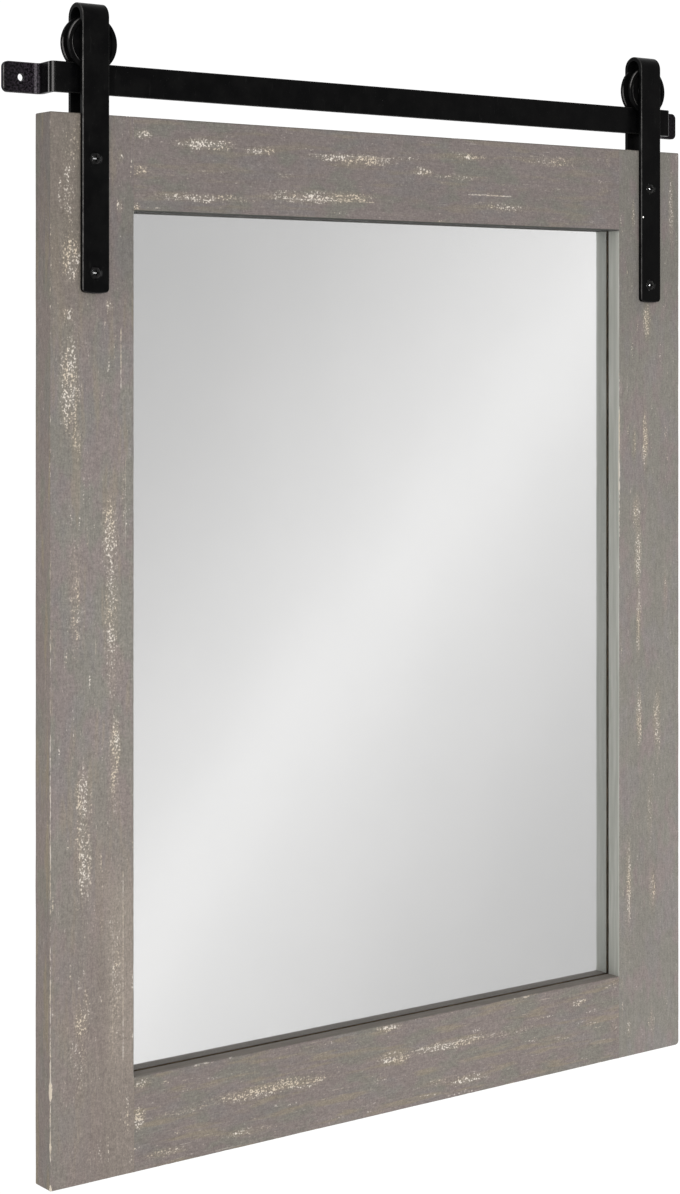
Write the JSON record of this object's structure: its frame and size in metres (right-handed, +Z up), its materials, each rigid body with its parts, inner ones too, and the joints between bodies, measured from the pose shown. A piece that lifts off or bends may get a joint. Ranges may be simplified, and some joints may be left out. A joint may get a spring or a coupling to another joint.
{
  "type": "wall mirror",
  "caption": "Framed wall mirror hung by strap hangers and grooved wheels from a flat steel bar that screws to the wall; it rolls a little way along the bar.",
  "frame": {"origin": "midway between the two wall-screw holes, on the wall plane that the bar's end tabs lie on", "axes": "+X to the viewer's right, +Y into the wall, +Z up; the mirror faces -Y"},
  "size_m": [0.6, 0.0302, 0.762],
  "materials": {
    "painted_wood": "warm grey paint rubbed back to a pale undercoat over a sawn, cross-brushed face",
    "beech": "plain beech dowel",
    "mirror": "clear float glass, silvered behind",
    "hardboard": "brown hardboard, smooth side out",
    "zinc_plate": "zinc-plated sheet steel",
    "zinc_screw": "zinc-plated screws",
    "bumper_rubber": "soft moulded rubber",
    "black_steel": "soft-gloss black powder coat, slightly worn on the edges",
    "black_screw": "black oxide screws with polished highlights",
    "black_wheel": "turned steel, black coat",
    "bush": "sintered bronze",
    "nylon": "natural nylon"
  },
  "bodies": {
    "track": {"rail_bar": "black_steel"},
    "mirror": {"left_stile": "painted_wood", "right_stile": "painted_wood", "top_rail": "painted_wood", "bottom_rail": "painted_wood", "corner_dowels": "beech", "mirror_glass": "mirror", "backing_board": "hardboard", "backing_clips": "zinc_plate", "clip_screws": "zinc_screw", "wall_bumpers": "bumper_rubber", "left_hanger_strap": "black_steel", "right_hanger_strap": "black_steel", "left_strap_screws": "black_screw", "right_strap_screws": "black_screw", "left_axle": "black_steel", "right_axle": "black_steel", "left_axle_washers": "nylon", "right_axle_washers": "nylon"},
    "left_roller": {"left_wheel": "black_wheel", "left_wheel_bush": "bush"},
    "right_roller": {"right_wheel": "black_wheel", "right_wheel_bush": "bush"}
  },
  "joints": [
    {"name": "mirror_slide", "type": "slide", "parent": "track", "child": "mirror", "axis": [1, 0, 0], "range_m": [-0.011, 0.011]},
    {"name": "left_wheel_turn", "type": "hinge", "parent": "mirror", "child": "left_roller", "pos_m": [-0.2471, -0.0208, 0.0227], "axis": [0, 1, 0], "range_deg": [-55, 55]},
    {"name": "right_wheel_turn", "type": "hinge", "parent": "mirror", "child": "right_roller", "pos_m": [0.2471, -0.0208, 0.0227], "axis": [0, 1, 0], "range_deg": [-55, 55]}
  ],
  "couplings": [
    {"joint": "left_wheel_turn", "follows": "mirror_slide", "rad_per_m": 78.74},
    {"joint": "right_wheel_turn", "follows": "mirror_slide", "rad_per_m": 78.74}
  ]
}
